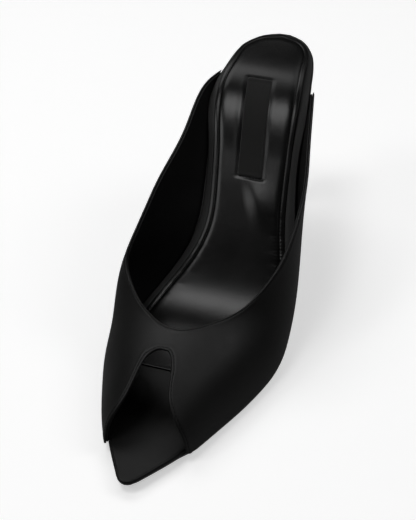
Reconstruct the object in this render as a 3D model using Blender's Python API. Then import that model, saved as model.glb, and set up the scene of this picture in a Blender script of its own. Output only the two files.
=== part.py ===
# Peep-toe mule, the left shoe of a pair, standing empty on its forefoot and heel tip.
# The toe points to -Y, +Z is up and +X is the lateral side.
import bpy
import bmesh
import numpy as np

# Driving dimensions in metres and degrees. A station is a length along the
# insole board, from the toe tip back to the heel.
MM = 0.001
BOTTOM_LENGTH = 262 * MM
SPRING_END = 25 * MM
BEND_START = 64 * MM
BEND_END = 134 * MM
SEAT_START = 184 * MM
SEAT_END = 232 * MM
TOE_SPRING = 3.0
ARCH_PITCH = 43.0
SEAT_PITCH = 16.5

WALL = 1.8 * MM
GAP = 0.3 * MM
OUTSOLE = 2.4 * MM
BOARD = 3.2 * MM
SOCK = 1.6 * MM
LABEL = 0.5 * MM

OUTSOLE_START = 0.4 * MM
SOCK_START = 65 * MM
SOCK_INSET = 2.8 * MM
SOCK_END = BOTTOM_LENGTH - SOCK_INSET
OUTSOLE_ROUND = 0.4 * MM
BOARD_ROUND = 0.9 * MM
SOCK_ROUND = 0.5 * MM
BREAST_STATION = 206 * MM
LABEL_START = 172 * MM
LABEL_LENGTH = 50 * MM
LABEL_WIDTH = 12.3 * MM
LABEL_TURN = -0.14
TIP_HEIGHT = 5 * MM

# How far a table's corners are softened, as a station length and as a share of the girth.
STATION_REACH = 12 * MM
GIRTH_REACH = 0.07

# Heights above the top face of the insole board.
FEATHER_LIFT = -BOARD
OUTSOLE_LIFT = -BOARD - GAP
SOCK_LIFT = GAP + SOCK
LABEL_LIFT = SOCK_LIFT + GAP + LABEL

# The last, in millimetres: half-widths of the insole board on each side of the
# axis, ridge height of the upper over its feather edge, and how far each wall swells out.
LAST_COLUMNS = ("station", "medial", "lateral", "ridge", "medial_swell", "lateral_swell")
LAST_ROWS = (
    (0, 2.2, 1.4, 13, 1, 1),
    (3, 5.0, 3.4, 14, 1, 1),
    (8, 8.4, 6.0, 16, 1, 1),
    (22, 17.4, 16.0, 21, 1, 1),
    (40, 25.2, 23.6, 28.5, 1.2, 1),
    (65, 32.4, 33.6, 32, 4, 2),
    (90, 33.6, 39.4, 38.5, 9.5, 3),
    (112, 26.8, 38.4, 47, 15.5, 4.5),
    (130, 19.0, 36.2, 53.5, 18, 6.5),
    (148, 15.6, 33.0, 59, 18, 8.5),
    (180, 18.8, 27.0, 65.5, 12, 13),
    (215, 25.0, 23.8, 69, 6, 10),
    (245, 21.5, 19.5, 71, 3, 5),
    (254, 16.5, 15.0, 72, 2, 3),
    (259.5, 10.0, 9.2, 72, 2, 3),
    (262, 2.5, 2.5, 72, 2, 3),
)

# Where the upper starts and ends, as stations in millimetres, against the share of
# the half girth from the ridge (0) down to the feather edge (1).
EDGE_COLUMNS = ("share", "peep_medial", "peep_lateral", "collar_medial", "collar_lateral")
EDGE_ROWS = (
    (0.00, 50.0, 50.0, 64.0, 64.0),
    (0.15, 44.8, 41.6, 68.6, 68.4),
    (0.30, 32.0, 29.2, 88.5, 81.6),
    (0.45, 24.2, 24.0, 118.5, 103.6),
    (0.60, 22.6, 22.4, 148.0, 132.0),
    (0.80, 22.2, 21.6, 189.0, 174.0),
    (1.00, 21.8, 21.6, 233.0, 226.0),
)

# How far the outsole's edge stands outside the board's, in millimetres.
SOLE_COLUMNS = ("station", "stand")
SOLE_ROWS = ((0, -0.3), (18, -0.3), (28, 1.5), (95, 1.6), (145, 0.4), (206, 0.2))

# The heel from its seat down to its tip: share of the drop, shares of the seat's
# width and depth, and the millimetres that the section has moved back.
HEEL_COLUMNS = ("drop", "width", "depth", "back")
HEEL_ROWS = (
    (0.00, 1.000, 1.00, 0.0),
    (0.03, 0.965, 0.945, 0.9),
    (0.12, 0.80, 0.86, 1.6),
    (0.22, 0.57, 0.67, 4.3),
    (0.35, 0.40, 0.475, 7.8),
    (0.55, 0.29, 0.33, 11.0),
    (0.78, 0.235, 0.255, 12.3),
    (1.00, 0.21, 0.22, 12.6),
)

# Grid segments across and along each piece.
UPPER_GRID = (48, 34)
OUTSOLE_GRID = (8, 46)
BOARD_GRID = (8, 48)
SOCK_GRID = (8, 36)
HEEL_GRID = (12, 12)
HEEL_STEPS = 16
LABEL_GRID = (2, 10)

# Colour and roughness.
LEATHER = ((0.018, 0.018, 0.019), 0.42)
LINING = ((0.014, 0.014, 0.015), 0.38)
SOLE_RUBBER = ((0.055, 0.055, 0.056), 0.6)
TIP_RUBBER = ((0.02, 0.02, 0.02), 0.55)
WOVEN = ((0.045, 0.045, 0.048), 0.9)


def column(columns, rows, name):
    """One named column of a table, as the table writes it."""
    return np.array([row[columns.index(name)] for row in rows], float)


def smooth(at, stations, values):
    """A smooth curve through a table's rows that doesn't overshoot between them."""
    step = np.diff(stations)
    rise = np.diff(values) / step
    slope = np.concatenate([rise[:1], np.zeros(len(rise) - 1), rise[-1:]])
    for i in range(1, len(rise)):
        if rise[i - 1] * rise[i] > 0:
            before = 2 * step[i] + step[i - 1]
            after = step[i] + 2 * step[i - 1]
            slope[i] = (before + after) / (before / rise[i - 1] + after / rise[i])
    at = np.clip(at, stations[0], stations[-1])
    i = np.clip(np.searchsorted(stations, at) - 1, 0, len(step) - 1)
    u = (at - stations[i]) / step[i]
    start = values[i] * (1 + 2 * u) + slope[i] * step[i] * u
    end = values[i + 1] * (3 - 2 * u) - slope[i + 1] * step[i] * (1 - u)
    return start * (1 - u) ** 2 + end * u ** 2


def fair(at, stations, values, reach):
    """The smooth curve averaged over a short reach, which narrows to nothing at its ends."""
    at = np.asarray(at, float)
    reach = np.minimum(reach, np.minimum(at - stations[0], stations[-1] - at) / 3)
    offsets = np.linspace(-1, 1, 9)
    weights = np.cos(offsets * np.pi / 2) + 0.05
    total = sum(w * smooth(at + o * reach, stations, values) for o, w in zip(offsets, weights))
    return total / weights.sum()


def ease(share):
    share = np.clip(share, 0, 1)
    return share * share * (3 - 2 * share)


def pitch(station):
    """Slope of the insole board in radians: toe spring, flat tread, arch, heel seat."""
    spring = -TOE_SPRING * np.clip(1 - station / SPRING_END, 0, 1)
    arch = ARCH_PITCH * ease((station - BEND_START) / (BEND_END - BEND_START))
    seat = (SEAT_PITCH - ARCH_PITCH) * ease((station - SEAT_START) / (SEAT_END - SEAT_START))
    return np.radians(spring + arch + seat)


def side_view():
    """The board's top line seen from the side, as station, run and height."""
    station = np.linspace(0, BOTTOM_LENGTH, 525)
    middle = (station[1:] + station[:-1]) / 2
    step = np.diff(station)
    run = np.concatenate([[0], np.cumsum(np.cos(pitch(middle)) * step)])
    height = np.concatenate([[0], np.cumsum(np.sin(pitch(middle)) * step)])
    return station, run, height - height.min() + BOARD + GAP + OUTSOLE


SIDE_STATION, SIDE_RUN, SIDE_HEIGHT = side_view()


def place(station, across, lift):
    """A point by its station, its distance from the axis and its lift off the board."""
    slope = pitch(station)
    run = np.interp(station, SIDE_STATION, SIDE_RUN) - lift * np.sin(slope)
    height = np.interp(station, SIDE_STATION, SIDE_HEIGHT) + lift * np.cos(slope)
    return np.stack([across + 0 * run, run, height], axis=-1)


def last(station, name):
    """A column of the last's table at any station, in metres."""
    rows = column(LAST_COLUMNS, LAST_ROWS, "station") * MM
    return fair(station, rows, column(LAST_COLUMNS, LAST_ROWS, name) * MM, STATION_REACH)


def edge_station(girth, edge):
    """Station of the peep or collar edge for a girth from -1, medial, to 1, lateral."""
    share = column(EDGE_COLUMNS, EDGE_ROWS, "share")
    medial = column(EDGE_COLUMNS, EDGE_ROWS, edge + "_medial")
    lateral = column(EDGE_COLUMNS, EDGE_ROWS, edge + "_lateral")
    shares = np.concatenate([-share[:0:-1], share])
    stations = np.concatenate([medial[:0:-1], lateral]) * MM
    return fair(girth, shares, stations, GIRTH_REACH)


def outer_wall(station, girth):
    """The upper's outer face: an arched section over the board, fuller where it swells."""
    angle = (1 - np.abs(girth)) * np.pi / 2
    feather = np.where(girth < 0, last(station, "medial"), last(station, "lateral")) + WALL + GAP
    swell = np.where(girth < 0, last(station, "medial_swell"), last(station, "lateral_swell"))
    across = np.sign(girth) * (feather * np.cos(angle) + swell * np.sin(2 * angle))
    return place(station, across, FEATHER_LIFT + last(station, "ridge") * np.sin(angle))


def new_material(name, finish):
    colour, roughness = finish
    material = bpy.data.materials.new(name)
    material.use_nodes = True
    shader = material.node_tree.nodes["Principled BSDF"]
    shader.inputs["Base Color"].default_value = (*colour, 1)
    shader.inputs["Roughness"].default_value = roughness
    shader.inputs["Metallic"].default_value = 0
    return material


def add_object(name, bm, finish, root):
    mesh = bpy.data.meshes.new(name)
    bm.to_mesh(mesh)
    bm.free()
    mesh.shade_smooth()
    mesh.set_sharp_from_angle(angle=np.radians(40))
    mesh.materials.append(new_material(name, finish))
    piece = bpy.data.objects.new(name, mesh)
    bpy.context.collection.objects.link(piece)
    piece.parent = root
    return piece


def mapped_grid(segments, surface):
    """A grid laid on a surface that takes shares from -1 to 1 across and 0 to 1 along."""
    bm = bmesh.new()
    bmesh.ops.create_grid(bm, x_segments=segments[0], y_segments=segments[1], size=1)
    flat = np.array([vertex.co for vertex in bm.verts])
    points = surface(flat[:, 0], (flat[:, 1] + 1) / 2)
    for vertex, point in zip(bm.verts, points):
        vertex.co = point
    return bm


def thicken(piece, thickness):
    solidify = piece.modifiers.new("thickness", "SOLIDIFY")
    solidify.thickness = thickness
    solidify.offset = -1
    solidify.use_even_offset = True
    solidify.use_quality_normals = True


def round_edges(piece, width, segments):
    bevel = piece.modifiers.new("round", "BEVEL")
    bevel.width = width
    bevel.segments = segments
    bevel.limit_method = "ANGLE"
    bevel.angle_limit = np.radians(50)


def add_layer(name, segments, start, end, lift, thickness, half_width, finish, root):
    """A layer of the bottom: its top face follows the board, its outline is half_width."""
    def surface(across, along):
        station = start + (end - start) * crowd_ends(along)
        half = np.where(across < 0, half_width(station, "medial"), half_width(station, "lateral"))
        return place(station, across * half, lift)

    layer = add_object(name, mapped_grid(segments, surface), finish, root)
    thicken(layer, thickness)
    return layer


def crowd_ends(share):
    """Shares drawn towards both ends, where the outlines turn fastest."""
    return 0.35 * share + 0.65 * (1 - np.cos(np.pi * share)) / 2


def add_upper(root):
    def surface(girth, along):
        peep = edge_station(girth, "peep")
        collar = edge_station(girth, "collar")
        return outer_wall(peep + (collar - peep) * along, girth)

    upper = add_object("upper", mapped_grid(UPPER_GRID, surface), LEATHER, root)
    thicken(upper, WALL)


def add_bottom(root):
    def sole_half(station, side):
        rows = column(SOLE_COLUMNS, SOLE_ROWS, "station") * MM
        return last(station, side) + smooth(station, rows, column(SOLE_COLUMNS, SOLE_ROWS, "stand") * MM)

    def sock_half(station, side):
        turn = ease((station - SEAT_END) / (SOCK_END - SEAT_END))
        return last(station + SOCK_INSET * turn, side) - SOCK_INSET * (1 - turn)

    outsole = add_layer("outsole", OUTSOLE_GRID, OUTSOLE_START, BREAST_STATION - GAP, OUTSOLE_LIFT,
                        OUTSOLE, sole_half, SOLE_RUBBER, root)
    round_edges(outsole, OUTSOLE_ROUND, 1)
    board = add_layer("insole_board", BOARD_GRID, 0, BOTTOM_LENGTH, 0, BOARD, last, LEATHER, root)
    round_edges(board, BOARD_ROUND, 2)
    sock = add_layer("insole_sock", SOCK_GRID, SOCK_START, SOCK_END, SOCK_LIFT, SOCK, sock_half,
                     LINING, root)
    round_edges(sock, SOCK_ROUND, 1)


def add_label(root):
    def surface(across, along):
        station = LABEL_START + LABEL_LENGTH * along
        start = (last(LABEL_START, "lateral") - last(LABEL_START, "medial")) / 2
        middle = start + LABEL_TURN * LABEL_LENGTH * along
        return place(station, middle + across * LABEL_WIDTH / 2, LABEL_LIFT)

    label = add_object("label", mapped_grid(LABEL_GRID, surface), WOVEN, root)
    thicken(label, LABEL)


def heel_row(seat, drop, floor):
    """The seat's outline drawn in, moved back and lowered by a share of its drop to the floor."""
    drops = column(HEEL_COLUMNS, HEEL_ROWS, "drop")
    width = smooth(drop, drops, column(HEEL_COLUMNS, HEEL_ROWS, "width"))
    depth = smooth(drop, drops, column(HEEL_COLUMNS, HEEL_ROWS, "depth"))
    back = smooth(drop, drops, column(HEEL_COLUMNS, HEEL_ROWS, "back") * MM)
    middle = (seat.min(axis=0) + seat.max(axis=0)) / 2
    across = middle[0] + (seat[:, 0] - middle[0]) * width
    run = middle[1] + back + (seat[:, 1] - middle[1]) * depth
    height = floor + (seat[:, 2] - floor) * (1 - drop)
    return np.stack([across, run, height], axis=-1)


def add_column(name, rows, finish, root):
    """A closed column: a grid on the heel seat at its top, its rim extruded from row to row."""
    def seat(across, along):
        station = BREAST_STATION + (BOTTOM_LENGTH - BREAST_STATION) * (1 - (1 - along) ** 1.6)
        half = np.where(across < 0, last(station, "medial"), last(station, "lateral"))
        return place(station, across * half, OUTSOLE_LIFT)

    bm = mapped_grid(HEEL_GRID, seat)
    seat_points = np.array([vertex.co for vertex in bm.verts])
    for vertex, point in zip(bm.verts, heel_row(seat_points, *rows[0])):
        vertex.co = point
    source = {vertex: i for i, vertex in enumerate(bm.verts)}
    rim = [edge for edge in bm.edges if edge.is_boundary]
    for drop, floor in rows[1:]:
        points = heel_row(seat_points, drop, floor)
        grown = bmesh.ops.extrude_edge_only(bm, edges=rim)["geom"]
        rim = [part for part in grown if isinstance(part, bmesh.types.BMEdge)]
        below = {}
        for vertex in (part for part in grown if isinstance(part, bmesh.types.BMVert)):
            above = next(edge.other_vert(vertex) for edge in vertex.link_edges
                         if edge.other_vert(vertex) in source)
            below[vertex] = source[above]
        for vertex, i in below.items():
            vertex.co = points[i]
        source = below
    bmesh.ops.edgeloop_fill(bm, edges=rim)
    bmesh.ops.recalc_face_normals(bm, faces=bm.faces)
    return add_object(name, bm, finish, root)


def add_heel(root):
    drops = np.linspace(0, 1, HEEL_STEPS + 1) ** 1.6
    add_column("heel", [(drop, TIP_HEIGHT + GAP) for drop in drops], LEATHER, root)
    add_column("heel_tip", [(1, TIP_HEIGHT), (1, 0)], TIP_RUBBER, root)


def centre_over_origin(root):
    """Moves the root so that the shoe's box is centred over the origin and stands on z = 0."""
    graph = bpy.context.evaluated_depsgraph_get()
    points = []
    for piece in root.children:
        mesh = piece.evaluated_get(graph).to_mesh()
        points.extend(vertex.co.copy() for vertex in mesh.vertices)
    points = np.array(points)
    middle = (points.min(axis=0) + points.max(axis=0)) / 2
    root.location = (-middle[0], -middle[1], -points[:, 2].min())


def main():
    for old in list(bpy.data.objects):
        bpy.data.objects.remove(old)
    root = bpy.data.objects.new("mule", None)
    bpy.context.collection.objects.link(root)
    add_upper(root)
    add_bottom(root)
    add_label(root)
    add_heel(root)
    centre_over_origin(root)
    bpy.context.view_layer.update()


main()
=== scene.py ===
import bmesh
import bpy
import numpy as np
from mathutils import Matrix, Vector
from mathutils.kdtree import KDTree


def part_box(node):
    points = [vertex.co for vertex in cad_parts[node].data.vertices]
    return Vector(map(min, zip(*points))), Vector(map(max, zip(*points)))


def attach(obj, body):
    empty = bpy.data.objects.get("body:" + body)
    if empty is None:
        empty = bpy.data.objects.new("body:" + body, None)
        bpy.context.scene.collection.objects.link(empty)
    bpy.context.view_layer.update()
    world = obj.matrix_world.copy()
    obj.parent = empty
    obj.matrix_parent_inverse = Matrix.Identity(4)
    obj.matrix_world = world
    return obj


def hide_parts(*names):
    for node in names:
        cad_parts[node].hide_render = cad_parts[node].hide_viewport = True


# Looks of a peep-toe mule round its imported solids. Metres, toe to -Y, lateral side to +X.
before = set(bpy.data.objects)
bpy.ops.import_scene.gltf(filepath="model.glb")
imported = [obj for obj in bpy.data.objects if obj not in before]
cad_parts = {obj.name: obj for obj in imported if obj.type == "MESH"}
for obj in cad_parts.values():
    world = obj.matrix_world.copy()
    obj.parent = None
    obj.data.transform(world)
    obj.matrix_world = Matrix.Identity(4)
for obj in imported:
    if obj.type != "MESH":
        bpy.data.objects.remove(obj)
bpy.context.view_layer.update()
mm = 0.001
print("frame loaded:", ", ".join(sorted(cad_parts)))

# The last that the solids were drawn from. A station runs along the insole board from the toe, in mm.
lastForm = {
    "length": 262, "springEnd": 25, "bendStart": 64, "bendEnd": 134, "seatStart": 184, "seatEnd": 232,
    "toeSpring": 3.0, "archPitch": 43.0, "seatPitch": 16.5,  # degrees
    "wall": 1.8, "gap": 0.3, "outsole": 2.4, "board": 3.2,
    "sideSteps": 537, "fineSteps": 5241,
    "stationReach": 12, "girthReach": 0.03,  # how far the corners of a table are softened
    "columns": ("station", "medial", "lateral", "ridge", "medialSwell", "lateralSwell"),
    "rows": (
        (0, 4.2, 3.9, 13, 1, 1),
        (3, 6.0, 5.9, 14, 1, 1),
        (8, 9.2, 9.1, 16, 1, 1),
        (22, 17.4, 17.3, 21, 1, 1),
        (40, 25.2, 24.4, 28.5, 1.2, 1),
        (65, 32.4, 33.6, 32, 4, 2),
        (90, 33.6, 39.4, 38.5, 9.5, 3),
        (112, 26.8, 38.4, 47, 16.3, 4.5),
        (130, 19.0, 36.2, 53.5, 18.8, 6.5),
        (148, 15.6, 33.0, 59, 18.6, 8.5),
        (180, 18.8, 27.0, 65.5, 12, 13),
        (215, 25.0, 23.8, 69, 6, 10),
        (245, 21.5, 19.5, 71, 3, 5),
        (254, 16.5, 15.0, 72, 2, 3),
        (259.5, 10.0, 9.2, 72, 2, 3),
        (262, 2.5, 2.5, 72, 2, 3),
    ),
    "edgeColumns": ("share", "peepMedial", "peepLateral", "collarMedial", "collarLateral"),
    "edgeRows": (
        (0.00, 50.2, 50.2, 63.1, 63.1),
        (0.06, 50.2, 46.8, 63.4, 64.1),
        (0.12, 47.8, 40.0, 64.8, 66.4),
        (0.17, 43.4, 33.2, 67.0, 69.5),
        (0.21, 35.0, 29.8, 69.6, 72.6),
        (0.26, 28.6, 27.2, 73.2, 77.2),
        (0.33, 24.5, 25.0, 80.6, 86.4),
        (0.40, 22.0, 23.3, 94.0, 99.5),
        (0.50, 19.6, 21.9, 121.0, 119.8),
        (0.60, 17.9, 21.1, 145.5, 137.0),
        (0.80, 16.0, 20.6, 188.0, 176.0),
        (0.95, 15.5, 20.9, 220.0, 213.0),
        (1.00, 17.2, 22.5, 232.0, 226.0),
    ),
    "toeReach": 6, "toeEnd": 62, "boardThin": 1.5, "soleThin": 1.2,  # the layers taper off towards the toe
}
labelForm = {"start": 172, "length": 50, "width": 12.3, "turn": -0.14, "solidLift": 2.7, "gap": 0.03,
             "thick": 0.22, "rim": 0.1, "grid": (28, 96), "foldLength": 1.5, "foldFade": 0.5,
             "foldRise": 0.15, "stitchLength": 1.5, "stitches": 7, "sewnAhead": 0.2, "sewnShare": 0.92,
             "sewnLift": 0.12}


def columnOf(columns, rows, name):
    return np.array([row[columns.index(name)] for row in rows], float)


def smoothCurve(at, stations, values):  # through every row, with no overshoot between them
    step = np.diff(stations)
    rise = np.diff(values) / step
    slope = np.concatenate([rise[:1], np.zeros(len(rise) - 1), rise[-1:]])
    for i in range(1, len(rise)):
        if rise[i - 1] * rise[i] > 0:
            before = 2 * step[i] + step[i - 1]
            after = step[i] + 2 * step[i - 1]
            slope[i] = (before + after) / (before / rise[i - 1] + after / rise[i])
    at = np.clip(at, stations[0], stations[-1])
    i = np.clip(np.searchsorted(stations, at) - 1, 0, len(step) - 1)
    u = (at - stations[i]) / step[i]
    start = values[i] * (1 + 2 * u) + slope[i] * step[i] * u
    end = values[i + 1] * (3 - 2 * u) - slope[i + 1] * step[i] * (1 - u)
    return start * (1 - u) ** 2 + end * u ** 2


def fairCurve(at, stations, values, reach):  # the smooth curve averaged over a short reach
    at = np.asarray(at, float)
    reach = np.minimum(reach, np.minimum(at - stations[0], stations[-1] - at) / 3)
    offsets = np.linspace(-1, 1, 9)
    weights = np.cos(offsets * np.pi / 2) + 0.05  # the ends count a little too
    total = sum(w * smoothCurve(at + o * reach, stations, values) for o, w in zip(offsets, weights))
    return total / weights.sum()


def ease(share):
    share = np.clip(share, 0, 1)
    return share * share * (3 - 2 * share)


def reached(station, change):  # 0 before a change of the given start and length, 1 past it
    return ease((station - change[0]) / change[1])


def hill(at, width):  # a soft ridge, 1 at its top
    return np.exp(-(at / width) ** 2)


def pitchAt(station):
    form = lastForm
    spring = -form["toeSpring"] * np.clip(1 - station / form["springEnd"], 0, 1)
    arch = form["archPitch"] * ease((station - form["bendStart"]) / (form["bendEnd"] - form["bendStart"]))
    level = ease((station - form["seatStart"]) / (form["seatEnd"] - form["seatStart"]))
    return np.radians(spring + arch + (form["seatPitch"] - form["archPitch"]) * level)


def sideView():  # the board's top line: station, run and height, in mm
    station = np.linspace(-lastForm["toeReach"], lastForm["length"], lastForm["sideSteps"])
    middle = (station[1:] + station[:-1]) / 2
    step = np.diff(station)
    run = np.concatenate([[0], np.cumsum(np.cos(pitchAt(middle)) * step)])
    height = np.concatenate([[0], np.cumsum(np.sin(pitchAt(middle)) * step)])
    run = run - np.interp(0, station, run)
    return station, run, height - height.min() + lastForm["board"] + lastForm["gap"] + lastForm["outsole"]


sideStation, sideRun, sideHeight = sideView()


def fairedLast():  # every column of the last, on one fine row of stations
    rows = columnOf(lastForm["columns"], lastForm["rows"], "station")
    fine = np.linspace(0, lastForm["length"], lastForm["fineSteps"])
    return fine, {name: fairCurve(fine, rows, columnOf(lastForm["columns"], lastForm["rows"], name),
                                  lastForm["stationReach"]) for name in lastForm["columns"][1:]}


fineStation, fineLast = fairedLast()


def lastAt(station, name):
    return np.interp(station, fineStation, fineLast[name])


def tapered(station, thin, full):  # thin at the toe, full behind the toe's end
    share = (station + lastForm["toeReach"]) / (lastForm["toeEnd"] + lastForm["toeReach"])
    return thin + (full - thin) * ease(share)


def boardUnder(station):
    return -tapered(station, lastForm["boardThin"], lastForm["board"])


def labelMiddle(station):
    start = labelForm["start"]
    first = (lastAt(start, "lateral") - lastAt(start, "medial")) / 2
    return first + labelForm["turn"] * (station - start)


def onLast(station, across, lift):  # mm on the last, before the shift to the frame
    slope = pitchAt(station)
    run = np.interp(station, sideStation, sideRun) - lift * np.sin(slope)
    height = np.interp(station, sideStation, sideHeight) + lift * np.cos(slope)
    return np.stack([across + 0 * run, run, height + 0 * across], axis=-1)


def frameShift():  # the label's solid says where the whole last stands in the frame
    end = labelForm["start"] + labelForm["length"]
    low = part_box("label")[0]
    left = labelMiddle(end) - labelForm["width"] / 2
    front = onLast(np.array(labelForm["start"]), 0, labelForm["solidLift"])[1]
    return np.array([low.x - left * mm, low.y - front * mm, 0])


shoeShift = frameShift()
print("last set in the frame, shift in mm:", (shoeShift / mm).round(3))


def place(station, across, lift):  # mm on the last to metres in the frame
    return onLast(station, across, lift) * mm + shoeShift


def edgeStation(girth, edge):  # girth runs from -1, medial feather edge, to 1, lateral
    share = columnOf(lastForm["edgeColumns"], lastForm["edgeRows"], "share")
    medial = columnOf(lastForm["edgeColumns"], lastForm["edgeRows"], edge + "Medial")
    lateral = columnOf(lastForm["edgeColumns"], lastForm["edgeRows"], edge + "Lateral")
    shares = np.concatenate([-share[:0:-1], share])
    stations = np.concatenate([medial[:0:-1], lateral])
    return fairCurve(np.clip(girth, -1, 1), shares, stations, lastForm["girthReach"])


def outerWall(station, girth):
    angle = (1 - np.abs(girth)) * np.pi / 2
    inside = girth < 0
    half = np.where(inside, lastAt(station, "medial"), lastAt(station, "lateral"))
    swell = np.where(inside, lastAt(station, "medialSwell"), lastAt(station, "lateralSwell"))
    feather = half + lastForm["wall"] + lastForm["gap"]
    across = np.sign(girth) * (feather * np.cos(angle) + swell * np.sin(2 * angle))
    return place(station, across, lastAt(station, "ridge") * np.sin(angle) + boardUnder(station))


def wallFrame(station, girth):  # a point of the outer face, its normal, and its lengths per mm and per girth
    alongStep, aroundStep = 0.4, 0.004
    along = outerWall(station + alongStep, girth) - outerWall(station - alongStep, girth)
    around = outerWall(station, girth + aroundStep) - outerWall(station, girth - aroundStep)
    normal = np.cross(around, along)
    normal /= np.linalg.norm(normal, axis=-1, keepdims=True)
    alongLength = np.linalg.norm(along, axis=-1) / (2 * alongStep)
    aroundLength = np.linalg.norm(around, axis=-1) / (2 * aroundStep)
    return outerWall(station, girth), normal, alongLength, aroundLength


def wallPoint(station, girth, depth):  # depth in mm under the outer face
    point, normal = wallFrame(station, girth)[:2]
    return point - normal * (depth * mm)[..., None]


# Mesh helpers

def closedShell(segments, facePoints, layers=()):
    # two grids, the upper and the under face of a sheet, which meet all round and are merged there
    bm = bmesh.new()
    marks = [bm.verts.layers.float.new(layer) for layer in layers]
    for side in (0, 1):
        made = bmesh.ops.create_grid(bm, x_segments=segments[0], y_segments=segments[1], size=1)["verts"]
        flat = np.array([vertex.co for vertex in made])
        column = np.rint((flat[:, 0] + 1) / 2 * segments[0]).astype(int)
        row = np.rint((flat[:, 1] + 1) / 2 * segments[1]).astype(int)
        points, values = facePoints(column, row, side)
        for vertex, point in zip(made, points):
            vertex.co = point
        for mark, numbers in zip(marks, values):
            for vertex, number in zip(made, numbers):
                vertex[mark] = number
    bmesh.ops.remove_doubles(bm, verts=bm.verts, dist=mm / 1000)
    bmesh.ops.recalc_face_normals(bm, faces=bm.faces)
    return bm


def addPiece(name, bm, material, nodes=(), sharpDegrees=None):
    mesh = bpy.data.meshes.new(name)
    bm.to_mesh(mesh)
    bm.free()
    mesh.shade_smooth()
    if sharpDegrees:
        mesh.set_sharp_from_angle(angle=np.radians(sharpDegrees))
    mesh.materials.append(material)
    piece = bpy.data.objects.new(name, mesh)
    bpy.context.scene.collection.objects.link(piece)
    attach(piece, "root")
    if nodes:
        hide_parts(*nodes)
    print("piece made:", name, len(mesh.polygons), "faces")
    return piece


def runAlong(path):
    return np.concatenate([[0], np.cumsum(np.linalg.norm(np.diff(path, axis=0), axis=1))])


threadForm = {"pitch": 1.87, "length": 1.36, "width": 0.36, "height": 0.28, "sides": 8, "rings": 5}


def sewAlong(bm, path, normals, pitch, length):
    # stitches of one length at an even pitch along a path, each a bead of thread that dips in at both ends
    pitch = pitch * mm
    run = runAlong(path)
    bead = bmesh.new()
    bmesh.ops.create_uvsphere(bead, u_segments=threadForm["sides"], v_segments=threadForm["rings"], radius=1)
    beadMesh = bpy.data.meshes.new("bead")
    for k in range(int(run[-1] / pitch)):
        centre, ahead, behind, up = (
            np.array([np.interp(at, run, values[:, axis]) for axis in range(3)])
            for at, values in (((k + 0.5) * pitch, path), ((k + 0.9) * pitch, path),
                               ((k + 0.1) * pitch, path), ((k + 0.5) * pitch, normals))
        )
        along = Vector(ahead - behind).normalized()
        side = along.cross(Vector(up)).normalized()
        top = side.cross(along)
        sizes = ((side, threadForm["width"]), (top, threadForm["height"]), (along, length))
        turn = Matrix([way * size * mm / 2 for way, size in sizes]).transposed().to_4x4()
        turn.translation = Vector(centre)
        bead.to_mesh(beadMesh)
        beadMesh.transform(turn)
        bm.from_mesh(beadMesh)
    bead.free()
    bpy.data.meshes.remove(beadMesh)


# Materials

def addNode(tree, kind, inputs=None, **settings):
    node = tree.nodes.new(kind)
    for name, value in settings.items():
        setattr(node, name, value)
    for socket, value in (inputs or {}).items():
        if isinstance(value, bpy.types.NodeSocket):
            tree.links.new(value, node.inputs[socket])
        else:
            node.inputs[socket].default_value = value
    return node


def mathNode(tree, operation, *values):
    return addNode(tree, "ShaderNodeMath", dict(enumerate(values)), operation=operation).outputs[0]


def mapRange(tree, value, low, high, toLow, toHigh, smooth=False):
    inputs = {"Value": value, "From Min": low, "From Max": high, "To Min": toLow, "To Max": toHigh}
    kind = "SMOOTHSTEP" if smooth else "LINEAR"
    return addNode(tree, "ShaderNodeMapRange", inputs, interpolation_type=kind).outputs["Result"]


def newGroup(name, inputs, outputs):
    group = bpy.data.node_groups.new(name, "ShaderNodeTree")
    for label, value in inputs.items():
        group.interface.new_socket(label, in_out="INPUT", socket_type="NodeSocketFloat").default_value = value
    for label in outputs:
        group.interface.new_socket(label, in_out="OUTPUT", socket_type="NodeSocketFloat")
    return group, group.nodes.new("NodeGroupInput").outputs, group.nodes.new("NodeGroupOutput").inputs


grainForm = {"cells": 2100, "drift": 45, "uneven": 0.9, "valley": 0.22, "fineTimes": 2.3, "fineShare": 0.6,
             "detail": 3.0, "tone": (0.3, 0.7), "speck": (0.32, 0.68)}
pitForm = {"reach": 0.34, "share": 0.13, "depth": 6.0, "rough": 0.35}


def noiseOf(tree, where, scale):
    inputs = {"Vector": where, "Scale": scale, "Detail": grainForm["detail"]}
    return addNode(tree, "ShaderNodeTexNoise", inputs).outputs[0]


def grainGroup():  # fine pebbled grain with slow changes of tone
    form = grainForm
    group, given, result = newGroup("leatherGrain", {"Cells": form["cells"], "Drift": form["drift"]},
                                    ("Height", "Tone", "Speck"))
    where = addNode(group, "ShaderNodeTexCoord").outputs["Object"]
    cells = {"Vector": where, "Scale": given["Cells"], "Randomness": form["uneven"]}
    pebbles = addNode(group, "ShaderNodeTexVoronoi", cells, feature="DISTANCE_TO_EDGE").outputs["Distance"]
    tops = mapRange(group, pebbles, 0.0, form["valley"], 0.0, 1.0, smooth=True)
    fine = noiseOf(group, where, mathNode(group, "MULTIPLY", given["Cells"], form["fineTimes"]))
    slow = noiseOf(group, where, given["Drift"])
    group.links.new(mathNode(group, "MULTIPLY_ADD", fine, form["fineShare"], tops), result["Height"])
    group.links.new(mapRange(group, slow, *form["tone"], 0.0, 1.0), result["Tone"])
    group.links.new(mapRange(group, fine, *form["speck"], -1.0, 1.0), result["Speck"])
    return group


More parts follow.
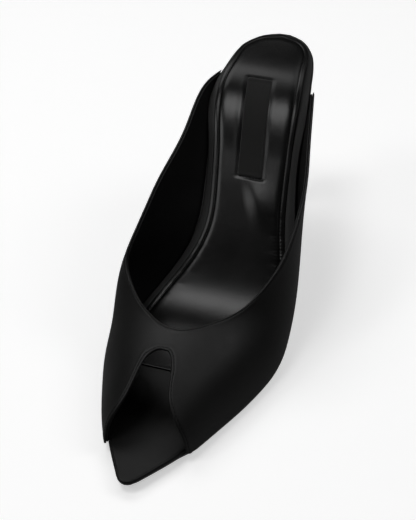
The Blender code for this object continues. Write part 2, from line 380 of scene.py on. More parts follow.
def pitGroup():  # needle holes at the ends of the stitches, from the piece's own stitch attributes
    inputs = {"Reach": pitForm["reach"], "Share": pitForm["share"]}
    group, given, result = newGroup("needlePits", inputs, ("Pit",))
    run = addNode(group, "ShaderNodeAttribute", attribute_name="stitchRun").outputs["Fac"]
    far = addNode(group, "ShaderNodeAttribute", attribute_name="stitchFar").outputs["Fac"]
    fromEnd = mathNode(group, "SUBTRACT", 0.5, mathNode(group, "ABSOLUTE", mathNode(
        group, "SUBTRACT", mathNode(group, "FRACT", run), 0.5)))
    along = mathNode(group, "SUBTRACT", 1.0, mapRange(group, mathNode(
        group, "DIVIDE", fromEnd, given["Share"]), 0.0, 1.0, 0.0, 1.0, smooth=True))
    beside = mathNode(group, "SUBTRACT", 1.0, mapRange(group, mathNode(
        group, "DIVIDE", mathNode(group, "ABSOLUTE", far), given["Reach"]), 0.0, 1.0, 0.0, 1.0, smooth=True))
    group.links.new(mathNode(group, "MULTIPLY", along, beside), result["Pit"])
    return group


leatherGrain = grainGroup()
needlePits = pitGroup()


def shaderOf(material):
    return material.node_tree.nodes["Principled BSDF"]


def newMaterial(name, roughness, specular):
    material = bpy.data.materials.new(name)
    material.use_nodes = True
    shader = shaderOf(material)
    shader.inputs["Roughness"].default_value = roughness
    shader.inputs["Specular IOR Level"].default_value = specular
    return material


def bumpNode(tree, height, finish):
    inputs = {"Height": height, "Strength": finish["bump"], "Distance": finish["bumpDepth"] * mm}
    return addNode(tree, "ShaderNodeBump", inputs)


def grainOf(tree, finish):
    grain = addNode(tree, "ShaderNodeGroup", node_tree=leatherGrain)
    grain.inputs["Cells"].default_value = finish["cells"]
    grain.inputs["Drift"].default_value = finish["drift"]
    return grain.outputs


def leatherMaterial(name, finish):
    material = newMaterial(name, finish["rough"], finish["specular"])
    tree = material.node_tree
    shader = shaderOf(material)
    grain = grainOf(tree, finish)
    height, tone = grain["Height"], grain["Tone"]
    colour = colourMix(tree, tone, finish)
    rough = mapRange(tree, tone, 0.0, 1.0, finish["smooth"], finish["rough"])
    rough = mathNode(tree, "MULTIPLY_ADD", grain["Speck"], finish["speck"], rough)
    if finish["sewn"]:
        pit = addNode(tree, "ShaderNodeGroup", node_tree=needlePits).outputs["Pit"]
        height = mathNode(tree, "MULTIPLY_ADD", pit, -pitForm["depth"], height)
        rough = mathNode(tree, "MULTIPLY_ADD", pit, pitForm["rough"], rough)
    bump = bumpNode(tree, height, finish)
    tree.links.new(colour, shader.inputs["Base Color"])
    tree.links.new(rough, shader.inputs["Roughness"])
    tree.links.new(bump.outputs["Normal"], shader.inputs["Normal"])
    return material


def colourMix(tree, factor, finish):
    mix = addNode(tree, "ShaderNodeMix", data_type="RGBA")
    tree.links.new(factor, mix.inputs[0])
    mix.inputs[6].default_value = (*finish["dark"], 1)
    mix.inputs[7].default_value = (*finish["light"], 1)
    return mix.outputs[2]


vampFinish = {"dark": (0.0026, 0.0026, 0.0026), "light": (0.0038, 0.0037, 0.0036), "smooth": 0.42,
              "rough": 0.5, "specular": 0.32, "cells": 2400, "drift": 45, "bump": 0.5, "bumpDepth": 0.026,
              "speck": 0.05, "sewn": True}
liningFinish = {**vampFinish, "dark": (0.006, 0.006, 0.0061), "light": (0.0085, 0.0085, 0.0086),
                "smooth": 0.46, "rough": 0.55, "specular": 0.22, "cells": 3000, "sewn": False}
sockFinish = {**vampFinish, "dark": (0.0025, 0.0025, 0.0025), "light": (0.0035, 0.0035, 0.0034),
              "smooth": 0.19, "rough": 0.25, "specular": 0.2, "cells": 2800, "bump": 0.14}
wrapFinish = {**vampFinish, "specular": 0.26, "sewn": False}
vampLeather = leatherMaterial("vampLeather", vampFinish)
liningLeather = leatherMaterial("liningLeather", liningFinish)
sockLeather = leatherMaterial("sockLeather", sockFinish)
wrapLeather = leatherMaterial("wrapLeather", wrapFinish)
print("leathers made")

# Upper: the leather with its turned edges, then the lining a little short of them

upperForm = {"columns": 240, "middleRows": 44, "leather": 1.0, "liningStart": 1.03, "liningEnd": 1.8,
             "liningInset": 0.55, "liningReach": 1.012, "featherColumn": 0.994, "rollSteps": 5,
             "fineFar": 2.0, "fineSteps": 12, "wideFar": 4.4, "wideSteps": 5, "clear": 9.0, "room": 0.46,
             "stitchFar": 1.15, "stitchEnd": 0.985, "stitchPoints": 1400, "groove": 0.15, "grooveWidth": 0.3,
             "foldRise": 0.1, "foldRound": 0.7, "foldFar": 3.6, "threadSink": 0.05, "threadUnder": 0.02}


def edgeSlant(girth, edge):  # how much longer a way across the edge is when it runs along the station
    step = 0.01
    rise = (edgeStation(girth + step, edge) - edgeStation(girth - step, edge)) / (
        np.clip(girth + step, -1, 1) - np.clip(girth - step, -1, 1))
    alongLength, aroundLength = wallFrame(edgeStation(girth, edge), girth)[2:]
    return np.sqrt(1 + (rise * alongLength / aroundLength) ** 2)


def offEdge(girth, edge, far):  # station of a line that keeps far mm from the peep or collar edge
    inside = np.clip(girth, -1, 1)
    room = upperForm["room"] * (edgeStation(inside, "collar") - edgeStation(inside, "peep"))
    way = 1 if edge == "peep" else -1
    return edgeStation(inside, edge) + way * room * np.tanh(far * edgeSlant(inside, edge) / room)


def stitchLine(edge, depth):  # path, normals and girths of the stitches along an edge
    girth = np.linspace(-1, 1, upperForm["stitchPoints"]) * upperForm["stitchEnd"]
    station = offEdge(girth, edge, upperForm["stitchFar"])
    normal = wallFrame(station, girth)[1]
    return wallPoint(station, girth, np.full(len(girth), depth)), normal, girth


def wallShell(start, end, inset, reach, relief):
    # the sheet between two depths of the wall, with round edges at peep and collar
    form = upperForm
    girths = np.linspace(-1, 1, form["columns"] - 1) * form["featherColumn"]
    girths = np.concatenate([[-1], girths, [1]]) * reach
    roll = (end - start) / 2
    turn = np.linspace(0, np.pi / 2, form["rollSteps"])
    far = np.concatenate([
        roll * (1 - np.cos(turn)),
        np.linspace(roll, form["fineFar"], form["fineSteps"])[1:],
        np.linspace(form["fineFar"], form["wideFar"], form["wideSteps"])[1:],
    ])
    dip = np.concatenate([roll * (1 - np.sin(turn)), np.zeros(len(far) - len(turn))])
    rows = 2 * len(far) + form["middleRows"] - 1
    rowFar = np.concatenate([far, np.full(form["middleRows"], form["clear"]), far[::-1]])
    rowDip = np.concatenate([dip, np.zeros(form["middleRows"]), dip[::-1]])
    lines = [offEdge(girths, "peep", inset + distance) for distance in far]
    ends = [offEdge(girths, "collar", inset + distance) for distance in far[::-1]]
    shares = np.linspace(0, 1, form["middleRows"] + 2)[1:-1]
    middle = [lines[-1] + (ends[0] - lines[-1]) * share for share in shares]
    stations = np.array(lines + middle + ends)
    runs = []
    for edge in ("peep", "collar"):
        path, normals, girth = stitchLine(edge, 0.0)
        runs.append(np.interp(girths, girth, runAlong(path)) / (threadForm["pitch"] * mm))

    def facePoints(column, row, side):
        girth, station = girths[column], stations[row, column]
        depth = start + rowDip[row] - relief(rowFar[row]) if side == 0 else end - rowDip[row]
        rim = (column == 0) | (column == len(girths) - 1) | (row == 0) | (row == rows)
        depth = np.where(rim, (start + end) / 2, depth)
        run = np.where(row < rows / 2, runs[0][column], runs[1][column])
        stitchFar = rowFar[row] - form["stitchFar"] if side == 0 else np.full(len(row), form["clear"])
        return wallPoint(station, girth, depth), (run, stitchFar)

    return closedShell((len(girths) - 1, rows), facePoints, ("stitchRun", "stitchFar"))


def turnedEdge(far):  # the folded edge stands a little proud and the stitches draw a groove in it
    form = upperForm
    fold = form["foldRise"] * (1 - ease((far - form["fineFar"]) / (form["foldFar"] - form["fineFar"])))
    groove = form["groove"] * hill(far - form["stitchFar"], form["grooveWidth"])
    return fold * ease(far / form["foldRound"]) - groove


leatherMesh = wallShell(0, upperForm["leather"], 0, 1, turnedEdge)
addPiece("upperLeather", leatherMesh, vampLeather, ["upper"])
liningMesh = wallShell(upperForm["liningStart"], upperForm["liningEnd"], upperForm["liningInset"],
                       upperForm["liningReach"], np.zeros_like)
addPiece("upperLining", liningMesh, liningLeather)

# Side seam on the medial wall: two turned edges that meet in a fine line

seamForm = {"station": 138.6, "lean": 6, "below": 1.3, "width": 1.7, "ridge": 0.16, "ridgeFar": 0.62,
            "ridgeWidth": 0.34, "cleft": 0.26, "cleftWidth": 0.16, "sink": 0.07, "under": 0.35, "foot": 0.985,
            "grid": (20, 90)}


def seamShell():
    form = seamForm
    girths = np.linspace(-0.9, -0.3, 600)  # where the collar crosses the seam is looked for here
    top = -np.interp(form["station"] + form["below"], edgeStation(girths, "collar")[::-1], girths[::-1])

    def facePoints(column, row, side):
        across = (column / form["grid"][0] * 2 - 1) * form["width"]
        share = row / form["grid"][1]
        girth = -(top + (form["foot"] - top) * share)
        station = form["station"] + form["lean"] * share + across
        rim = (column == 0) | (column == form["grid"][0]) | (row == 0) | (row == form["grid"][1])
        rise = form["ridge"] * hill(np.abs(across) - form["ridgeFar"], form["ridgeWidth"])
        rise = rise - form["cleft"] * hill(across, form["cleftWidth"])
        rise = np.where(rim, -form["sink"], rise)
        depth = np.where(rim, form["sink"], form["under"]) if side else -rise
        return wallPoint(station, girth, depth), ()

    return closedShell(form["grid"], facePoints)


addPiece("sideSeam", seamShell(), wrapLeather)

# Bottom layers: a sheet between two lifts over the board, its outline rounded over

layerForm = {"points": 900, "rowGap": 0.05, "steepest": 3, "crowd": 0.8, "clear": 9, "tipSquare": 0.004}


def outlineOf(start, end, half):
    turn = np.linspace(0, np.pi, layerForm["points"])
    station = start + (end - start) * (1 - np.cos(turn)) / 2
    medial = np.stack([station, -half(station, "medial")], axis=-1)
    lateral = np.stack([station, half(station, "lateral")], axis=-1)
    return np.concatenate([medial, lateral[::-1]])


def outlineFar(station, across, outline):  # distance inside the outline, in mm
    point = np.stack([station, across], axis=-1)
    tree = KDTree(len(outline))
    for i, corner in enumerate(outline):
        tree.insert((*corner, 0), i)
    tree.balance()
    nearest = np.array([tree.find((*spot, 0))[1] for spot in point.reshape(-1, 2)]).reshape(station.shape)
    far = np.full(station.shape, np.inf)
    for step in (-1, 1):  # the two sides that meet at the nearest corner
        start = outline[nearest]
        way = outline[(nearest + step) % len(outline)] - start
        share = ((point - start) * way).sum(axis=-1) / ((way ** 2).sum(axis=-1) + 1e-12)
        gap = point - start - np.clip(share, 0, 1)[..., None] * way
        far = np.minimum(far, np.linalg.norm(gap, axis=-1))
    return far


def rounded(far, roll, square):  # 1 at the edge, 0 past the roll; a higher square gives a squarer edge
    drop = (1 - np.clip(far / roll, 0, 1)) ** square
    return 1 - (1 - drop) ** (1 / square)


def layerShell(form, half, topLift, underLift, sewn=None):
    # columns keep their distance from the outline near the edge, rows crowd at both ends
    steps = np.linspace(0, 1, form["edgeSteps"]) ** 2 * form["roll"]
    near = np.concatenate([steps, steps[-1] + np.array(form["nearColumns"])])
    columns = 2 * len(near) + form["middleColumns"] - 1
    between = np.concatenate([np.linspace(*run, endpoint=False) for run in form["rows"]])
    start, end = form["rows"][0][0], form["rows"][-1][1]
    margin = form["roll"] + layerForm["rowGap"]
    between = between[(between > start + margin) & (between < end - margin)]
    stations = np.concatenate([start + steps, between, end - steps[::-1]])
    rows = len(stations) - 1
    outline = outlineOf(start, end, half)
    across = []
    for side, sign in (("medial", -1), ("lateral", 1)):
        reach = half(stations, side)
        slant = np.minimum(np.sqrt(1 + np.gradient(reach, stations) ** 2), layerForm["steepest"])
        fit = np.minimum(1, layerForm["crowd"] * reach / (near[-1] * slant))
        across.append(sign * (reach[:, None] - near * (slant * fit)[:, None]))
    shares = np.linspace(0, 1, form["middleColumns"] + 2)[1:-1]
    middle = across[0][:, -1:] + (across[1][:, -1:] - across[0][:, -1:]) * shares
    lines = np.concatenate([across[0], middle, across[1][:, ::-1]], axis=1)
    farInside = outlineFar(np.repeat(stations[:, None], columns + 1, axis=1), lines, outline)

    def facePoints(column, row, side):
        station, x = stations[row], lines[row, column]
        rim = (column == 0) | (column == columns) | (row == 0) | (row == rows)
        far = np.where(rim, 0, farInside[row, column])
        top, under = topLift(station, x, far), underLift(station)
        if side:
            turned = (1 - form["rim"]) * rounded(far, form["underRoll"], form["underSquare"])
            lift = under + (top - under) * turned
        else:
            lift = top - (top - under) * form["rim"] * rounded(far, form["roll"], form["square"])
        run, stitchFar = station * 0, far * 0 + layerForm["clear"]
        if sewn and not side:
            run, stitchFar = sewn(station, x, far)
        return place(station, x, lift), (run, stitchFar)

    return closedShell((columns, rows), facePoints, ("stitchRun", "stitchFar"))


def roundTip(station, start, reach):  # draws the outline in to a round tip
    share = np.clip((station - start) / reach, 0, 1)
    return np.sqrt(np.clip(1 - (1 - share) ** 2, layerForm["tipSquare"], 1))


# Insole board, wrapped in the upper's leather, with the fold that shows round the open toe

boardForm = {"rows": ((-2.2, 6, 26), (6, 70, 84), (70, 261.9, 120)), "roll": 0.75, "square": 2.2,
             "edgeSteps": 7, "underRoll": 0.5, "underSquare": 3, "rim": 0.55, "middleColumns": 14,
             "nearColumns": (0.06, 0.12, 0.18, 0.24, 0.32, 0.45, 0.7, 1.4, 2.2, 3.2), "tipReach": 3.4,
             "wallFit": 0.27, "wallStart": (22, 8), "wallEnd": (226, 6),  # station, then length of the change
             "tuck": 1.0, "tuckMiddle": 156, "tuckReach": 34,
             "seatFit": 0.9, "seatMiddle": 205, "seatReach": 14,
             "creaseFar": 0.95, "creaseDepth": 0.14, "creaseWidth": 0.12, "creaseEnd": (56, 10),
             "marginSlope": 0.14, "marginFar": 3.4, "marginStart": (100, 28)}


def boardHalf(station, side):  # fits close between the walls and is drawn in at the inner side of the waist
    form = boardForm
    walled = reached(station, form["wallStart"]) * (1 - reached(station, form["wallEnd"]))
    tuck = form["tuck"] * hill(station - form["tuckMiddle"], form["tuckReach"]) if side == "medial" else 0
    seat = form["seatFit"] * hill(station - form["seatMiddle"], form["seatReach"])
    half = lastAt(station, side) + form["wallFit"] * walled + seat - tuck
    return half * roundTip(station, form["rows"][0][0], form["tipReach"])


def boardTop(station, across, far):
    form = boardForm
    slope = form["marginSlope"] * reached(station, form["marginStart"])
    crease = hill(far - form["creaseFar"], form["creaseWidth"]) * (1 - reached(station, form["creaseEnd"]))
    return -slope * np.maximum(form["marginFar"] - far, 0) - form["creaseDepth"] * crease


boardMesh = layerShell(boardForm, boardHalf, boardTop, boardUnder)
addPiece("insoleBoard", boardMesh, wrapLeather, ["insole_board"])

# Padded sock: it slopes up from its edge over a stitched groove, and is fuller under the heel

sockForm = {"rows": ((65, 95, 42), (95, 160, 200), (160, 259.2, 150)), "inset": 3.3, "roll": 0.35,
            "square": 2, "edgeSteps": 6, "underRoll": 0.2, "underSquare": 2, "rim": 0.7, "middleColumns": 22,
            "nearColumns": (0.25, 0.6, 1.0, 1.35, 1.6, 1.8, 1.98, 2.15, 2.32, 2.5, 2.7, 3.0, 3.6, 4.4, 5.2,
                            6.0, 6.8, 7.8),
            "under": 0.06, "frontLift": 0.6, "frontReach": 20, "edgeLift": 0.5, "backReach": 3.0,
            "stitchFar": 2.5, "pitch": 1.75, "stitchLength": 1.2, "threadLift": 0.04, "groove": 0.2,
            "grooveWidth": 0.55, "frontSlope": 0.05, "slope": 0.14, "slopeStart": (106, 24), "slopeFar": 4.0,
            "slopeFade": 1.6, "heelRise": 3.6, "heelStart": (182, 44),
            "backFall": 0.78, "backStart": (226, 33.2)}
# the waist of the sock: how much further in its edge lies, where, and over what length
waistForm = {"medial": (1.5, 145, 24), "lateral": (1.7, 151, 20)}
# a soft fold ahead of the label, which leans across the sock
foldForm = {"rise": 0.8, "station": 160, "across": 8.0, "lean": -0.42, "length": 11, "steep": 9.0,
            "gentle": 18}
# where each stitch draws a small ripple: rise, middle and length of the stretch
rippleForm = {"medial": (0.03, 116, 16), "lateral": (0.07, 137, 13), "inside": 0.4, "reach": 1.5}
# single soft folds that run in from the stitches
puckerForm = {"depth": 0.07, "width": 1.3, "reach": 4.5, "medial": (109, 114.5, 121, 129.5, 136),
              "lateral": (127, 133, 139, 146, 154.5)}
# the label's bed, and a soft ridge along its inner edge
bedForm = {"lift": 0.94, "margin": 0.15, "slope": 1.4, "ridge": 0.12, "ridgeFar": 1.6, "ridgeWidth": 1.2,
           "ridgeStart": (4, 12), "ridgeEnd": (42, 8)}


def sockHalf(station, side):
    rise, middle, length = waistForm[side]
    end = sockForm["rows"][-1][1]
    turn = ease((station - lastForm["seatEnd"]) / (end - lastForm["seatEnd"]))
    half = lastAt(station + sockForm["inset"] * turn, side) - sockForm["inset"] * (1 - turn)
    half = half - rise * hill(station - middle, length)
    return half * roundTip(end - station, 0, sockForm["backReach"])


def offsetInside(outline, far):  # the outline drawn in by far mm, without the loops at its corners
    way = np.roll(outline, -1, axis=0) - np.roll(outline, 1, axis=0)
    way = way / np.linalg.norm(way, axis=-1, keepdims=True)
    inward = outline + far * np.stack([-way[:, 1], way[:, 0]], axis=-1)
    enough = 0.985 * far
    return inward[outlineFar(inward[:, 0], inward[:, 1], outline) > enough]


sockOutline = outlineOf(sockForm["rows"][0][0], sockForm["rows"][-1][1], sockHalf)
sockLine = offsetInside(sockOutline, sockForm["stitchFar"])  # station and across of the stitches
sockRun = runAlong(sockLine) / sockForm["pitch"]


def stitchCount(station, across):  # how many stitches lie before the nearest point of the sewn line
    tree = KDTree(len(sockLine))
    for i, spot in enumerate(sockLine):
        tree.insert((*spot, 0), i)
    tree.balance()
    return sockRun[[tree.find((s, x, 0))[1] for s, x in zip(station, across)]]


def labelBed(station, across):  # 1 under the label, 0 well beside it
    beside = np.abs(across - labelMiddle(station)) - labelForm["width"] / 2
    past = np.maximum(labelForm["start"] - station, station - labelForm["start"] - labelForm["length"])
    outside = np.hypot(np.maximum(beside, 0), np.maximum(past, 0)) - bedForm["margin"]
    return 1 - ease(outside / bedForm["slope"])


def heelPad(station):  # the padding grows under the heel and thins out towards the back
    form = sockForm
    fallen = form["backFall"] * reached(station, form["backStart"])
    return form["heelRise"] * reached(station, form["heelStart"]) * (1 - fallen)


def softFold(station, across):
    form = foldForm
    lean = across - form["across"] - form["lean"] * (station - form["station"])
    fold = ease(0.5 + lean / form["steep"]) * (1 - ease((lean - form["steep"] / 2) / form["gentle"]))
    return form["rise"] * fold * hill(station - form["station"], form["length"])


def puckered(station, across, beyond):  # ripples and puckers by the stitches, on each side of the sock
    lift = 0
    run = stitchCount(station, across)
    for side, sign in (("medial", -1), ("lateral", 1)):
        here = sign * (across - labelMiddle(station)) > 0
        rise, middle, length = rippleForm[side]
        ripple = np.cos(2 * np.pi * run) * hill(beyond - rippleForm["inside"], rippleForm["reach"])
        lift = lift + here * rise * ripple * hill(station - middle, length)
        for pucker in puckerForm[side]:
            trough = hill(station - pucker, puckerForm["width"]) * hill(beyond, puckerForm["reach"])
            lift = lift - here * puckerForm["depth"] * trough
    return lift


def labelRidge(station, across):
    left = labelMiddle(station) - labelForm["width"] / 2 - across
    along = station - labelForm["start"]
    ridge = hill(left - bedForm["ridgeFar"], bedForm["ridgeWidth"]) * reached(along, bedForm["ridgeStart"])
    return bedForm["ridge"] * ridge * (1 - reached(along, bedForm["ridgeEnd"]))


def sockTop(station, across, far):
    form = sockForm
    front = ease((station - form["rows"][0][0]) / form["frontReach"])
    slope = form["frontSlope"] + (form["slope"] - form["frontSlope"]) * reached(station, form["slopeStart"])
    beyond = far - form["stitchFar"]
    over = np.clip((far - form["slopeFar"]) / form["slopeFade"], 0, 1)  # rises from the edge, then levels out
    rise = np.minimum(far, form["slopeFar"]) + form["slopeFade"] * (over - over ** 2 / 2)
    lift = form["edgeLift"] + slope * rise - form["groove"] * hill(beyond, form["grooveWidth"])
    lift = lift + softFold(station, across) + puckered(station, across, beyond)
    lift = form["frontLift"] + (lift - form["frontLift"]) * front
    lift = lift + (bedForm["lift"] - lift) * labelBed(station, across)
    return lift + heelPad(station) + labelRidge(station, across)


def sockUnder(station):
    return station * 0 + sockForm["under"]


def sockSewn(station, across, far):
    return stitchCount(station, across), far - sockForm["stitchFar"]


sockMesh = layerShell(sockForm, sockHalf, sockTop, sockUnder, sockSewn)
sock = addPiece("insoleSock", sockMesh, sockLeather, ["insole_sock"])

# Woven label in its bed, turned under at both ends

def labelShell():
    form = labelForm

    def facePoints(column, row, side):
        across = column / form["grid"][0] * 2 - 1
        along = row / form["grid"][1]
        station = form["start"] + form["length"] * along
        rim = (column == 0) | (column == form["grid"][0]) | (row == 0) | (row == form["grid"][1])
        fromEnd = np.minimum(along, 1 - along) * form["length"]
        fold = form["foldRise"] * (1 - ease((fromEnd - form["foldLength"]) / form["foldFade"]))
        under = heelPad(station) + bedForm["lift"] + form["gap"]
        lift = np.where(rim, under + form["rim"], under if side else under + form["thick"] + fold)
        return place(station, labelMiddle(station) + across * form["width"] / 2, lift), (across, along)

    return closedShell(form["grid"], facePoints, ("weaveAcross", "weaveAlong"))


weaveForm = {"dark": (0.0038, 0.0038, 0.0036), "light": (0.0085, 0.0085, 0.008), "across": 34, "along": 138,
             "rough": 0.95, "smooth": 0.75, "specular": 0.25, "sheen": 0.15, "bump": 0.7, "bumpDepth": 0.08}


def wovenMaterial():
    material = newMaterial("wovenLabel", weaveForm["rough"], weaveForm["specular"])
    tree = material.node_tree
    shader = shaderOf(material)
    waves, cells = [], []
    for name, threads in (("weaveAcross", weaveForm["across"] / 2), ("weaveAlong", weaveForm["along"])):
        at = addNode(tree, "ShaderNodeAttribute", attribute_name=name).outputs["Fac"]
        thread = mathNode(tree, "MULTIPLY", at, threads)
        wave = mathNode(tree, "SINE", mathNode(tree, "MULTIPLY", thread, np.pi))
        waves.append(mathNode(tree, "ABSOLUTE", wave))
        cells.append(mathNode(tree, "FLOOR", thread))
    over = mathNode(tree, "PINGPONG", mathNode(tree, "ADD", *cells), 1.0)
    below = mathNode(tree, "MULTIPLY", mathNode(tree, "SUBTRACT", 1.0, over), waves[1])
    height = mathNode(tree, "ADD", mathNode(tree, "MULTIPLY", over, waves[0]), below)
    bump = bumpNode(tree, height, weaveForm)
    # the colour follows the weave's height: painted shade in the hollows between threads and painted
    # highlight on their crowns
    tree.links.new(colourMix(tree, height, weaveForm), shader.inputs["Base Color"])
    rough = mapRange(tree, height, 0.0, 1.0, weaveForm["rough"], weaveForm["smooth"])
    tree.links.new(rough, shader.inputs["Roughness"])
    tree.links.new(bump.outputs["Normal"], shader.inputs["Normal"])
    shader.inputs["Sheen Weight"].default_value = weaveForm["sheen"]
    return material


label = addPiece("wovenLabel", labelShell(), wovenMaterial(), ["label"])

# Outsole

soleForm = {"rows": ((-1.8, 6, 22), (6, 70, 60), (70, 205.6, 90)), "roll": 0.3, "square": 3, "edgeSteps": 7,
            "underRoll": 2.0, "underSquare": 1.5, "rim": 0.5, "middleColumns": 14, "tipReach": 3.4,
            "nearColumns": (0.2, 0.5, 0.9, 1.3, 1.8, 3.0), "gap": 0.06, "thick": 2.64,
            "columns": ("station", "stand"),
            "rowsOut": ((-2, -0.3), (18, -0.3), (28, 1.5), (95, 1.6), (145, 0.9), (206, 0.3))}


def soleHalf(station, side):
    rows = columnOf(soleForm["columns"], soleForm["rowsOut"], "station")
    stand = smoothCurve(station, rows, columnOf(soleForm["columns"], soleForm["rowsOut"], "stand"))
    return (lastAt(station, side) + stand) * roundTip(station, soleForm["rows"][0][0], soleForm["tipReach"])


def plainMaterial(name, finish):
    material = newMaterial(name, finish["rough"], finish["specular"])
    tree = material.node_tree
    shader = shaderOf(material)
    grain = grainOf(tree, finish)
    bump = bumpNode(tree, grain["Height"], finish)
    rough = mapRange(tree, grain["Tone"], 0.0, 1.0, finish["smooth"], finish["rough"])
    tree.links.new(colourMix(tree, grain["Tone"], finish), shader.inputs["Base Color"])
    tree.links.new(rough, shader.inputs["Roughness"])
    tree.links.new(bump.outputs["Normal"], shader.inputs["Normal"])
    return material


soleFinish = {"dark": (0.036, 0.036, 0.037), "light": (0.05, 0.05, 0.051), "smooth": 0.54, "rough": 0.66,
              "specular": 0.4, "cells": 3200, "drift": 60, "bump": 0.5, "bumpDepth": 0.05}
tipFinish = {**soleFinish, "dark": (0.014, 0.014, 0.014), "light": (0.02, 0.02, 0.02), "smooth": 0.49,
             "rough": 0.61}


def soleTop(station, across, far):
    return boardUnder(station) - soleForm["gap"]


def soleUnder(station):
    return boardUnder(station) - soleForm["gap"] - tapered(station, lastForm["soleThin"], soleForm["thick"])


soleMesh = layerShell(soleForm, soleHalf, soleTop, soleUnder)
addPiece("outsoleSheet", soleMesh, plainMaterial("soleRubber", soleFinish), ["outsole"])

# Heel in its leather cover, and the tip under it

heelForm = {"breast": 206, "tip": 5, "grid": (28, 28), "steps": 48, "gather": 1.6, "lift": -3.32,
            "tipGap": 0.08, "tipRound": 0.6, "roundSteps": 4, "sharp": 42,  # degrees
            "columns": ("drop", "width", "depth", "back"),
            "rows": ((0.00, 1.000, 1.00, 0.0), (0.03, 0.965, 0.945, 0.9), (0.12, 0.80, 0.86, 1.6),
                     (0.22, 0.57, 0.67, 4.3), (0.35, 0.40, 0.475, 7.8), (0.55, 0.29, 0.33, 11.0),
                     (0.78, 0.235, 0.255, 12.3), (1.00, 0.21, 0.22, 12.6))}


def heelRow(seat, drop, floor):  # the seat's outline drawn in, moved back and lowered towards the floor
    drops = columnOf(heelForm["columns"], heelForm["rows"], "drop")
    width, depth, back = (smoothCurve(drop, drops, columnOf(heelForm["columns"], heelForm["rows"], name))
                          for name in ("width", "depth", "back"))
    middle = (seat.min(axis=0) + seat.max(axis=0)) / 2
    across = middle[0] + (seat[:, 0] - middle[0]) * width
    run = middle[1] + back * mm + (seat[:, 1] - middle[1]) * depth
    return np.stack([across, run, floor + (seat[:, 2] - floor) * (1 - drop)], axis=-1)


def heelColumn(rows):
    form = heelForm
    bm = bmesh.new()
    bmesh.ops.create_grid(bm, x_segments=form["grid"][0], y_segments=form["grid"][1], size=1)
    flat = np.array([vertex.co for vertex in bm.verts])
    share = 1 - ((1 - flat[:, 1]) / 2) ** form["gather"]
    station = form["breast"] + (lastForm["length"] - form["breast"]) * share
    half = np.where(flat[:, 0] < 0, lastAt(station, "medial"), lastAt(station, "lateral"))
    seat = place(station, flat[:, 0] * half, form["lift"])
    for vertex, point in zip(bm.verts, heelRow(seat, *rows[0])):
        vertex.co = point
    source = {vertex: i for i, vertex in enumerate(bm.verts)}
    rim = [edge for edge in bm.edges if edge.is_boundary]
    for drop, floor in rows[1:]:
        points = heelRow(seat, drop, floor)
        grown = bmesh.ops.extrude_edge_only(bm, edges=rim)["geom"]
        rim = [part for part in grown if isinstance(part, bmesh.types.BMEdge)]
        below = {}
        for vertex in (part for part in grown if isinstance(part, bmesh.types.BMVert)):
            beside = [edge.other_vert(vertex) for edge in vertex.link_edges]
            below[vertex] = next(source[other] for other in beside if other in source)
        for vertex, i in below.items():
            vertex.co = points[i]
        source = below
    bmesh.ops.edgeloop_fill(bm, edges=rim)
    bmesh.ops.recalc_face_normals(bm, faces=bm.faces)
    return bm, rim


heelDrops = np.linspace(0, 1, heelForm["steps"] + 1) ** heelForm["gather"]
heelFoot = (heelForm["tip"] + heelForm["tipGap"]) * mm
heelMesh = heelColumn([(drop, heelFoot) for drop in heelDrops])[0]
addPiece("heelCover", heelMesh, wrapLeather, ["heel"], heelForm["sharp"])
tipMesh, tipRim = heelColumn([(1, heelForm["tip"] * mm), (1, 0)])
bmesh.ops.bevel(tipMesh, geom=tipRim, offset=heelForm["tipRound"] * mm, affect="EDGES",
                segments=heelForm["roundSteps"], profile=0.5, material=-1)
tipRubber = plainMaterial("tipRubber", tipFinish)
addPiece("heelTip", tipMesh, tipRubber, ["heel_tip"], heelForm["sharp"])

# Thread: along both edges of the upper, inside and out, round the sock and across the label's front end

threadFinish = {"dark": (0.0012, 0.0012, 0.0012), "light": (0.002, 0.002, 0.002), "smooth": 0.56,
                "rough": 0.68, "specular": 0.08, "cells": 5200, "drift": 900, "bump": 0.5, "bumpDepth": 0.05}
thread = plainMaterial("blackThread", threadFinish)
upperThread = bmesh.new()
for edge in ("peep", "collar"):
    for depth, way in ((upperForm["threadSink"], 1), (upperForm["liningEnd"] + upperForm["threadUnder"], -1)):
        path, normals, girth = stitchLine(edge, depth)
        sewAlong(upperThread, path, normals * way, threadForm["pitch"], threadForm["length"])
addPiece("upperStitches", upperThread, thread)


def upFrom(station):  # the way up from the board at a station
    slope = pitchAt(station)
    return np.stack([slope * 0, -np.sin(slope), np.cos(slope)], axis=-1)


sockThread = bmesh.new()
sewnFar = np.full(len(sockLine), sockForm["stitchFar"])
sewnStation, sewnAcross = sockLine[:, 0], sockLine[:, 1]
sewnLift = sockTop(sewnStation, sewnAcross, sewnFar) + sockForm["threadLift"]
sewAlong(sockThread, place(sewnStation, sewnAcross, sewnLift), upFrom(sewnStation), sockForm["pitch"],
         sockForm["stitchLength"])
sewnWidth = labelForm["width"] * labelForm["sewnShare"]
endAcross = np.linspace(-0.5, 0.5, 60) * sewnWidth
endStation = np.full(len(endAcross), labelForm["start"] - labelForm["sewnAhead"])
endLift = np.full(len(endAcross), bedForm["lift"] + labelForm["sewnLift"])
sewAlong(sockThread, place(endStation, endAcross + labelMiddle(endStation), endLift), upFrom(endStation),
         sewnWidth / labelForm["stitches"], labelForm["stitchLength"])
addPiece("sockStitches", sockThread, thread)

# Floor, light and camera

floorForm = {"size": 4.0, "grid": 8, "drop": 0.3, "colour": (0.8, 0.8, 0.8), "mirrored": (0.14, 0.14, 0.14),
             "rough": 0.8, "specular": 0.2, "glow": 0.5, "mirroredGlow": 0.06}


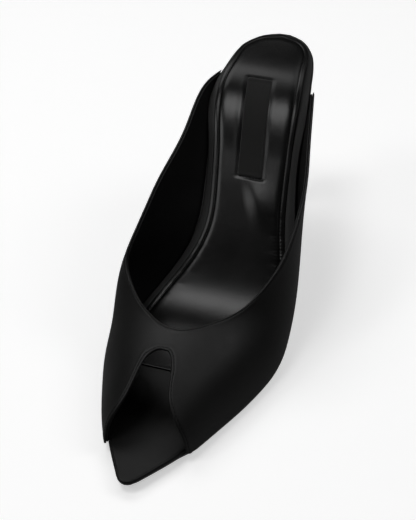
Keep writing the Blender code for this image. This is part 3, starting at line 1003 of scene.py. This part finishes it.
def floorMaterial():  # a pale table lit from below, held back where the leather mirrors it
    form = floorForm
    material = newMaterial("paleFloor", form["rough"], form["specular"])
    tree = material.node_tree
    mirrored = addNode(tree, "ShaderNodeLightPath").outputs["Is Glossy Ray"]
    colour = colourMix(tree, mirrored, {"dark": form["colour"], "light": form["mirrored"]})
    glow = mapRange(tree, mirrored, 0.0, 1.0, form["glow"], form["mirroredGlow"])
    tree.links.new(colour, shaderOf(material).inputs["Base Color"])
    tree.links.new(glow, shaderOf(material).inputs["Emission Strength"])
    shaderOf(material).inputs["Emission Color"].default_value = (1, 1, 1, 1)
    return material


floorMesh = bmesh.new()
bmesh.ops.create_grid(floorMesh, x_segments=floorForm["grid"], y_segments=floorForm["grid"],
                      size=floorForm["size"])
floorData = bpy.data.meshes.new("floor")
floorMesh.to_mesh(floorData)
floorMesh.free()
floorData.transform(Matrix.Translation((0, 0, -floorForm["drop"] * mm)))
floorData.materials.append(floorMaterial())
floor = bpy.data.objects.new("floor", floorData)
bpy.context.scene.collection.objects.link(floor)

lightForm = {
    "backPanel": {"place": (-0.22, 0.62, 1.24), "size": (1.4, 0.55), "power": 2.2},
    "leftPanel": {"place": (-0.55, 0.5, 1.1), "size": (0.7, 0.5), "power": 2.2},
    "rightPanel": {"place": (0.2, 0.62, 1.24), "size": (0.7, 0.5), "power": 0.7},
    "topCard": {"place": (-0.33, -0.33, 1.43), "size": (0.42, 0.42), "power": 4.2},
    "sideCard": {"place": (-0.64, -0.53, 0.9), "size": (0.3, 0.3), "power": 1.6},
    "frontCard": {"place": (0.52, -0.59, 1.0), "size": (0.3, 0.3), "power": 0.12},
    "rightCard": {"place": (0.8, 0.3, 1.0), "size": (0.5, 0.5), "power": 1.8},
}
roomLight = {"colour": (1, 1, 1), "strength": 0.04, "aim": (0, 0, 0.03)}


def aimAt(place, target):
    return (Vector(target) - Vector(place)).to_track_quat("-Z", "Y").to_euler()


for name, form in lightForm.items():
    data = bpy.data.lights.new(name, "AREA")
    data.shape = "RECTANGLE"
    data.size, data.size_y = form["size"]
    data.energy = form["power"]
    lamp = bpy.data.objects.new(name, data)
    lamp.location = form["place"]
    lamp.rotation_euler = aimAt(form["place"], roomLight["aim"])
    bpy.context.scene.collection.objects.link(lamp)
world = bpy.data.worlds.new("room")
world.use_nodes = True
world.node_tree.nodes["Background"].inputs["Color"].default_value = (*roomLight["colour"], 1)
world.node_tree.nodes["Background"].inputs["Strength"].default_value = roomLight["strength"]
bpy.context.scene.world = world
bpy.context.scene.view_settings.view_transform = "Standard"

cameraForm = {"place": (0.120, -0.3781, 0.333), "aim": (-0.002, -0.0085, 0.0384), "lens": 73.0}
cameraData = bpy.data.cameras.new("photoView")
cameraData.lens = cameraForm["lens"]
camera = bpy.data.objects.new("photoView", cameraData)
camera.location = cameraForm["place"]
camera.rotation_euler = aimAt(cameraForm["place"], cameraForm["aim"])
bpy.context.scene.collection.objects.link(camera)
bpy.context.scene.camera = camera
print("floor, light and camera set")
